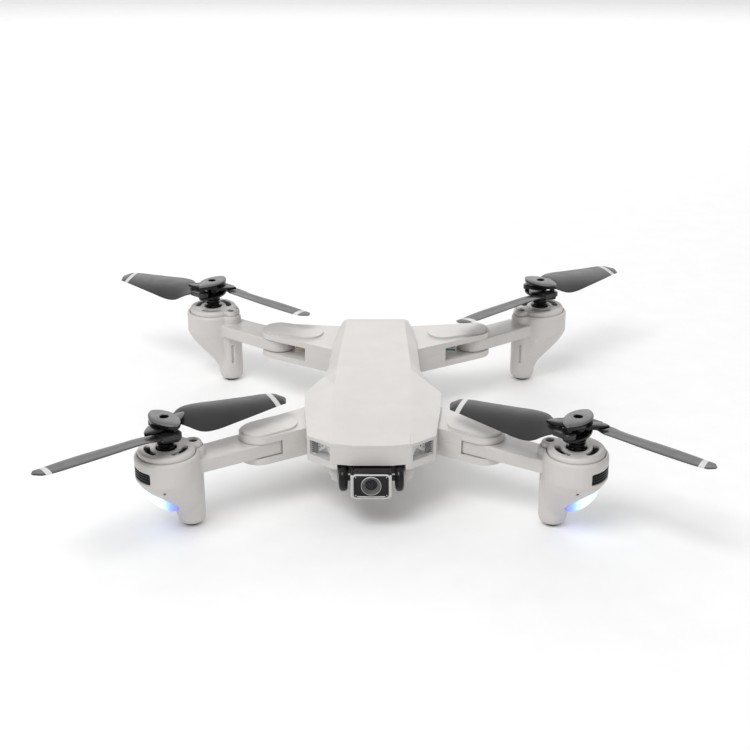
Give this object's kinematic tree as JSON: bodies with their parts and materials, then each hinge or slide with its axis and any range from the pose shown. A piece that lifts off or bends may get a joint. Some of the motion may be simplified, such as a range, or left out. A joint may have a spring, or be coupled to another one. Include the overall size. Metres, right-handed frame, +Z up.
{
  "type": "quadcopter drone",
  "caption": "Folding camera quadcopter with a hooded grey body, four swing-out arms on pod legs, folding two-blade rotors, a tilting nose camera and a slide-out battery.",
  "frame": {"origin": "on the ground under the feet, midway between the four motor axes", "axes": "+Z up, the nose and camera point along -Y, +X to the left of the pilot's nose-forward view, that is to the right when looking at the nose"},
  "size_m": [0.3485, 0.3175, 0.066],
  "materials": {
    "shell": "fine satin texture, light warm grey",
    "prop": "satin charcoal nylon, silver band near the tip",
    "hub": "gloss black",
    "dark": "matt black",
    "steel": "turned",
    "screw": "black oxide",
    "clear": "clear, slightly ribbed",
    "reflector": "faceted",
    "led": "milky, lit blue-white",
    "lens": "coated optical glass",
    "board": "green solder mask",
    "copper": "enamelled windings",
    "wire": "silicone leads in teal, brown and blue",
    "foot": "matt"
  },
  "bodies": {
    "body": {"top_cover": "shell", "upper_frame": "shell", "lower_frame": "shell", "hinge_pins": "steel", "headlight_lenses": "clear", "headlight_reflectors": "reflector", "main_board": "board", "belly_screws": "steel", "flow_sensor": "dark", "motor_wires": "wire", "camera_mount": "hub"},
    "battery": {"battery": "dark"},
    "power_button": {"power_button": "dark"},
    "camera": {"camera_head": "shell", "camera_window": "hub", "camera_lens": "lens"},
    "arm_front_left": {"arm_front_left": "shell", "motor_cap_front_left": "shell", "cap_screw_front_left": "screw", "motor_base_front_left": "copper", "foot_front_left": "foot", "led_lens_front_left": "led", "vent_front_left": "dark"},
    "rotor_front_left": {"motor_bell_front_left": "steel", "hub_front_left": "hub", "hub_cap_front_left": "hub"},
    "blade_a_front_left": {"blade_a_front_left": "prop"},
    "blade_b_front_left": {"blade_b_front_left": "prop"},
    "arm_front_right": {"arm_front_right": "shell", "motor_cap_front_right": "shell", "cap_screw_front_right": "screw", "motor_base_front_right": "copper", "foot_front_right": "foot", "led_lens_front_right": "led", "vent_front_right": "dark"},
    "rotor_front_right": {"motor_bell_front_right": "steel", "hub_front_right": "hub", "hub_cap_front_right": "hub"},
    "blade_a_front_right": {"blade_a_front_right": "prop"},
    "blade_b_front_right": {"blade_b_front_right": "prop"},
    "arm_rear_left": {"arm_rear_left": "shell", "motor_cap_rear_left": "shell", "cap_screw_rear_left": "screw", "motor_base_rear_left": "copper", "foot_rear_left": "foot"},
    "rotor_rear_left": {"motor_bell_rear_left": "steel", "hub_rear_left": "hub", "hub_cap_rear_left": "hub"},
    "blade_a_rear_left": {"blade_a_rear_left": "prop"},
    "blade_b_rear_left": {"blade_b_rear_left": "prop"},
    "arm_rear_right": {"arm_rear_right": "shell", "motor_cap_rear_right": "shell", "cap_screw_rear_right": "screw", "motor_base_rear_right": "copper", "foot_rear_right": "foot"},
    "rotor_rear_right": {"motor_bell_rear_right": "steel", "hub_rear_right": "hub", "hub_cap_rear_right": "hub"},
    "blade_a_rear_right": {"blade_a_rear_right": "prop"},
    "blade_b_rear_right": {"blade_b_rear_right": "prop"}
  },
  "joints": [
    {"name": "arm_fold_front_left", "type": "hinge", "parent": "body", "child": "arm_front_left", "pos_m": [-0.0615, -0.077, 0.036], "axis": [0, 0, -1], "range_deg": [0, 122]},
    {"name": "rotor_spin_front_left", "type": "hinge", "parent": "arm_front_left", "child": "rotor_front_left", "pos_m": [-0.1075, -0.1067, 0.045], "axis": [0, 0, 1], "continuous": true},
    {"name": "blade_a_fold_front_left", "type": "hinge", "parent": "rotor_front_left", "child": "blade_a_front_left", "pos_m": [-0.10115, -0.11443, 0.059], "axis": [0, 0, -1], "range_deg": [-180, 0]},
    {"name": "blade_b_fold_front_left", "type": "hinge", "parent": "rotor_front_left", "child": "blade_b_front_left", "pos_m": [-0.11385, -0.09897, 0.059], "axis": [0, 0, 1], "range_deg": [0, 180]},
    {"name": "arm_fold_front_right", "type": "hinge", "parent": "body", "child": "arm_front_right", "pos_m": [0.0615, -0.077, 0.036], "axis": [0, 0, 1], "range_deg": [0, 122]},
    {"name": "rotor_spin_front_right", "type": "hinge", "parent": "arm_front_right", "child": "rotor_front_right", "pos_m": [0.1075, -0.1067, 0.045], "axis": [0, 0, 1], "continuous": true},
    {"name": "blade_a_fold_front_right", "type": "hinge", "parent": "rotor_front_right", "child": "blade_a_front_right", "pos_m": [0.1128, -0.09822, 0.059], "axis": [0, 0, -1], "range_deg": [-180, 0]},
    {"name": "blade_b_fold_front_right", "type": "hinge", "parent": "rotor_front_right", "child": "blade_b_front_right", "pos_m": [0.1022, -0.11518, 0.059], "axis": [0, 0, 1], "range_deg": [0, 180]},
    {"name": "arm_fold_rear_left", "type": "hinge", "parent": "body", "child": "arm_rear_left", "pos_m": [-0.0615, 0.074, 0.036], "axis": [0, 0, 1], "range_deg": [0, 125]},
    {"name": "rotor_spin_rear_left", "type": "hinge", "parent": "arm_rear_left", "child": "rotor_rear_left", "pos_m": [-0.1075, 0.1067, 0.045], "axis": [0, 0, 1], "continuous": true},
    {"name": "blade_a_fold_rear_left", "type": "hinge", "parent": "rotor_rear_left", "child": "blade_a_rear_left", "pos_m": [-0.11265, 0.09813, 0.059], "axis": [0, 0, -1], "range_deg": [-180, 0]},
    {"name": "blade_b_fold_rear_left", "type": "hinge", "parent": "rotor_rear_left", "child": "blade_b_rear_left", "pos_m": [-0.10235, 0.11527, 0.059], "axis": [0, 0, 1], "range_deg": [0, 180]},
    {"name": "arm_fold_rear_right", "type": "hinge", "parent": "body", "child": "arm_rear_right", "pos_m": [0.0615, 0.074, 0.036], "axis": [0, 0, -1], "range_deg": [0, 125]},
    {"name": "rotor_spin_rear_right", "type": "hinge", "parent": "arm_rear_right", "child": "rotor_rear_right", "pos_m": [0.1075, 0.1067, 0.045], "axis": [0, 0, 1], "continuous": true},
    {"name": "blade_a_fold_rear_right", "type": "hinge", "parent": "rotor_rear_right", "child": "blade_a_rear_right", "pos_m": [0.10055, 0.11389, 0.059], "axis": [0, 0, -1], "range_deg": [-180, 0]},
    {"name": "blade_b_fold_rear_right", "type": "hinge", "parent": "rotor_rear_right", "child": "blade_b_rear_right", "pos_m": [0.11445, 0.09951, 0.059], "axis": [0, 0, 1], "range_deg": [0, 180]},
    {"name": "camera_tilt", "type": "hinge", "parent": "body", "child": "camera", "pos_m": [0, -0.099, 0.0261], "axis": [1, 0, 0], "range_deg": [0, 90]},
    {"name": "battery_slide", "type": "slide", "parent": "body", "child": "battery", "axis": [0, 1, 0], "range_m": [0, 0.095]},
    {"name": "power_button_press", "type": "slide", "parent": "body", "child": "power_button", "axis": [0, 0, 1], "range_m": [0, 0.0007], "stiffness_N_per_m": 400}
  ]
}
